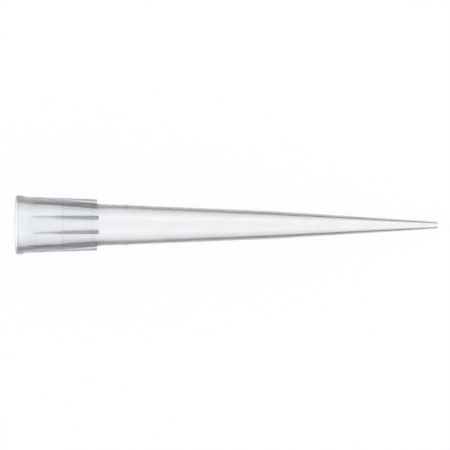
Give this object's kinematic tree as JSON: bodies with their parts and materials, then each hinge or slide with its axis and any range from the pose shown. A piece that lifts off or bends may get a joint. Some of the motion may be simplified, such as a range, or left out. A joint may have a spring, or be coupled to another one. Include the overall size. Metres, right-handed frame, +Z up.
{
  "type": "pipette tip",
  "caption": "Tapered disposable pipette tip, one clear moulding: lipped collar with wedge-shaped fins, a conical socket inside, and a slender body that narrows to a fine orifice.",
  "frame": {"origin": "on the table, under the middle of the tip as it lies", "axes": "+Z up; +X from the mouth to the orifice along the table; the tip lies tilted in the XZ plane, with its axis 3.54 degrees from level and the mouth end the higher"},
  "size_m": [0.0512, 0.007, 0.0071],
  "materials": {
    "natural_polypropylene": "clear, slightly milky natural polypropylene, moulded with a polished skin"
  },
  "bodies": {
    "root": {"pipette_tip": "natural_polypropylene"}
  },
  "joints": []
}
